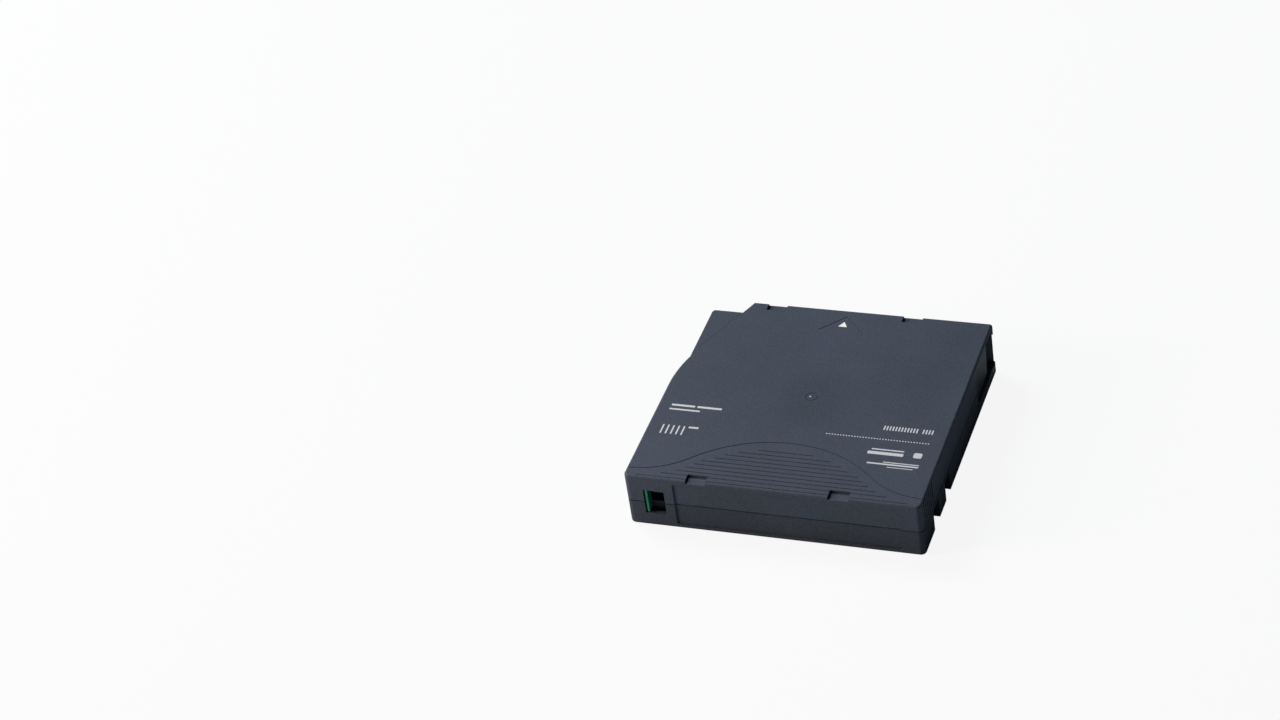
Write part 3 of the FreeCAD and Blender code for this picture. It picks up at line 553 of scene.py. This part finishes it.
low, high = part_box("door_spring")
middle = (low + high) / 2
start = Matrix.Translation((middle.x, low.y + doorCoil["wire"] / 2, middle.z))
alongDoor = Matrix.Rotation(math.radians(-90), 4, "X")
doorSpring = coilPiece("doorSpring", doorCoil, high.y - low.y, start @ alongDoor)
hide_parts("door_spring")
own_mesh(doorSpring)

low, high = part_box("brake_spring")
start = Matrix.Translation((0, 0, low.z + brakeCoil["wire"] / 2))
brakeSpring = coilPiece("brakeSpring", brakeCoil, high.z - low.z, start)
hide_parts("brake_spring")
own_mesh(brakeSpring)
print("springs wound")


# The four screws of the housing: pan heads with a cross recess, put in from below

screw = {
    "face": 0.8 * mm, "shoulder": 0.25 * mm,  # how far these edges of the head lie inside its rim
    "shoulderHeight": 0.35 * mm, "rimHeight": 0.9 * mm, "headHeight": 1.5 * mm,
    "neck": 1.0 * mm, "root": 0.78 * mm, "crest": 1.04 * mm, "pitch": 0.9 * mm,
    "threadFrom": 2.0 * mm, "threadTo": 1.6 * mm, "tip": 1.2 * mm,  # the last two are from the end
    "recess": 1.15 * mm, "slot": 0.34 * mm, "deep": 0.8 * mm, "sides": 32,
}


def lathe(name, profile, steps):
    made = bmesh.new()
    for (r0, z0), (r1, z1) in zip(profile, profile[1:]):
        for n in range(steps):
            a, b = 2 * math.pi * n / steps, 2 * math.pi * (n + 1) / steps
            ring = [(r0, z0, a), (r0, z0, b), (r1, z1, b), (r1, z1, a)]
            corners = [made.verts.new((r * math.cos(t), r * math.sin(t), z)) for r, z, t in ring]
            made.faces.new(corners)
    bmesh.ops.remove_doubles(made, verts=made.verts, dist=1e-7)
    bmesh.ops.recalc_face_normals(made, faces=made.faces)
    return newMesh(name, made)


def screwMesh():
    low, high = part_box("screw_front_left")
    rim, length = (high.x - low.x) / 2, high.z - low.z
    profile = [
        (0, 0), (rim - screw["face"], 0), (rim - screw["shoulder"], screw["shoulderHeight"]),
        (rim, screw["rimHeight"]), (rim, screw["headHeight"]), (screw["neck"], screw["headHeight"]),
    ]
    level = screw["threadFrom"]
    while level < length - screw["threadTo"]:
        profile += [(screw["root"], level), (screw["crest"], level + screw["pitch"] / 2)]
        level += screw["pitch"]
    profile += [(screw["root"], length - screw["tip"]), (0, length)]
    body = newObject("screwBody", lathe("screwBody", profile, screw["sides"]))
    cutter = bmesh.new()
    for turn in (0, math.pi / 2):
        made = bmesh.ops.create_cube(cutter, size=1)
        shape = Matrix.Rotation(turn, 4, "Z") @ Matrix.Diagonal(
            (2 * screw["recess"], 2 * screw["slot"], 2 * screw["deep"], 1))
        bmesh.ops.transform(cutter, matrix=shape, verts=made["verts"])
    tool = newObject("recess", newMesh("recess", cutter))
    cut = body.modifiers.new("recess", "BOOLEAN")
    cut.object = tool
    cut.operation = "DIFFERENCE"
    cut.use_self = True
    mesh = finishedMesh(body)
    for item in (body, tool):
        bpy.data.objects.remove(item)
    return mesh


def screwsTree(source):
    tree, entry = newTree("case screws", [
        ("Places", "NodeSocketGeometry"), ("Material", "NodeSocketMaterial"),
    ])
    item = addNode(tree, "GeometryNodeObjectInfo", {"Object": source})
    copies = addNode(tree, "GeometryNodeInstanceOnPoints", None,
                     {"Points": entry["Places"], "Instance": item.outputs["Geometry"]})
    endTree(tree, copies.outputs[0], entry["Material"])
    return tree


screwNodes = sorted(name for name in nodes if name.startswith("screw_"))
feet = []
for name in screwNodes:
    low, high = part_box(name)
    feet.append(((low.x + high.x) / 2, (low.y + high.y) / 2, low.z))
places = bpy.data.meshes.new("places")
places.from_pydata(feet, [], [])
source = newObject("screwSource", screwMesh())
caseScrews = keep("caseScrews", grown(screwsTree(source), places, {"Material": zincPlate}),
                  "case")
bpy.data.objects.remove(source)
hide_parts(*screwNodes)
print("screws:", len(screwNodes))


# Light, floor and camera

studio = {
    "floorSize": 6.0,
    "floorLevel": -0.05 * mm,  # a hair below the underside, so that the two planes don't coincide
    "floorColour": "#bcc4c7",
    "floorGlow": 0.9,  # how much of the floor the camera sees as plain white
    "fill": 0.06,  # strength of the surroundings as light; the camera sees them white
    "aim": (0, 0, 0.01),
    "lamps": {
        "key": {"place": (-1.1, 0.6, 1.4), "size": 0.8, "power": 31, "tint": (0.93, 0.98, 1.0)},
        "front": {"place": (-1.4, -0.6, 0.6), "size": 0.5, "power": 32, "tint": (1.0, 0.85, 0.72)},
    },
}

for name, look in studio["lamps"].items():
    light = bpy.data.lights.new(name, "AREA")
    light.size = look["size"]
    light.energy = look["power"]
    light.color = look["tint"]
    lamp = newObject(name, light)
    lamp.location = look["place"]
    lamp.rotation_mode = "QUATERNION"
    lamp.rotation_quaternion = (Vector(studio["aim"]) - lamp.location).to_track_quat("-Z", "Y")

world = bpy.data.worlds.new("studio")
bpy.context.scene.world = world
world.use_nodes = True
background = world.node_tree.nodes["Background"].inputs
background["Color"].default_value = grey(1.0)
path = addNode(world.node_tree, "ShaderNodeLightPath")
addNode(world.node_tree, "ShaderNodeMapRange", {"To Min": studio["fill"], "To Max": 1.0},
        {"Value": path.outputs["Is Camera Ray"]}, {"Result": background["Strength"]})


def floorMaterial():
    material, tree, shader, _ = newMaterial("pale studio floor", 0.9)
    shader["Base Color"].default_value = linear(studio["floorColour"])
    path = addNode(tree, "ShaderNodeLightPath")
    share = addNode(tree, "ShaderNodeMath", {"operation": "MULTIPLY", 1: studio["floorGlow"]},
                    {0: path.outputs["Is Camera Ray"]})
    glow = addNode(tree, "ShaderNodeEmission", {"Color": grey(1.0), "Strength": 1.0})
    addNode(tree, "ShaderNodeMixShader", None,
            {"Fac": share.outputs[0], 1: tree.nodes["Principled BSDF"].outputs[0], 2: glow.outputs[0]},
            {0: tree.nodes["Material Output"].inputs["Surface"]})
    return material


half = studio["floorSize"] / 2
corners = [(x, y, studio["floorLevel"])
           for x, y in ((-half, -half), (half, -half), (half, half), (-half, half))]
floorMesh = bpy.data.meshes.new("floor")
floorMesh.from_pydata(corners, [], [(0, 1, 2, 3)])
floorMesh.materials.append(floorMaterial())
floor = newObject("floor", floorMesh)

view = {
    "azimuth": 23.94, "elevation": 36.89, "roll": -9.3, "distance": 1202.22 * mm,
    "target": (-72.83 * mm, 24.55 * mm, 10.75 * mm), "lens": 93.2, "sensor": 36, "clip": (0.05, 20),
}
azimuth, elevation, roll = (math.radians(view[name]) for name in ("azimuth", "elevation", "roll"))
back = Vector((math.sin(azimuth) * math.cos(elevation), -math.cos(azimuth) * math.cos(elevation),
               math.sin(elevation)))
upright = (-back).to_track_quat("-Z", "Y")
camera = newObject("camera", bpy.data.cameras.new("camera"))
camera.data.lens = view["lens"]
camera.data.sensor_width = view["sensor"]
camera.data.clip_start, camera.data.clip_end = view["clip"]
camera.location = Vector(view["target"]) + back * view["distance"]
camera.rotation_mode = "QUATERNION"
camera.rotation_quaternion = upright @ Matrix.Rotation(roll, 4, "Z").to_quaternion()
bpy.context.scene.camera = camera
bpy.context.scene.view_settings.view_transform = "Standard"
print("studio ready")

print("ready")
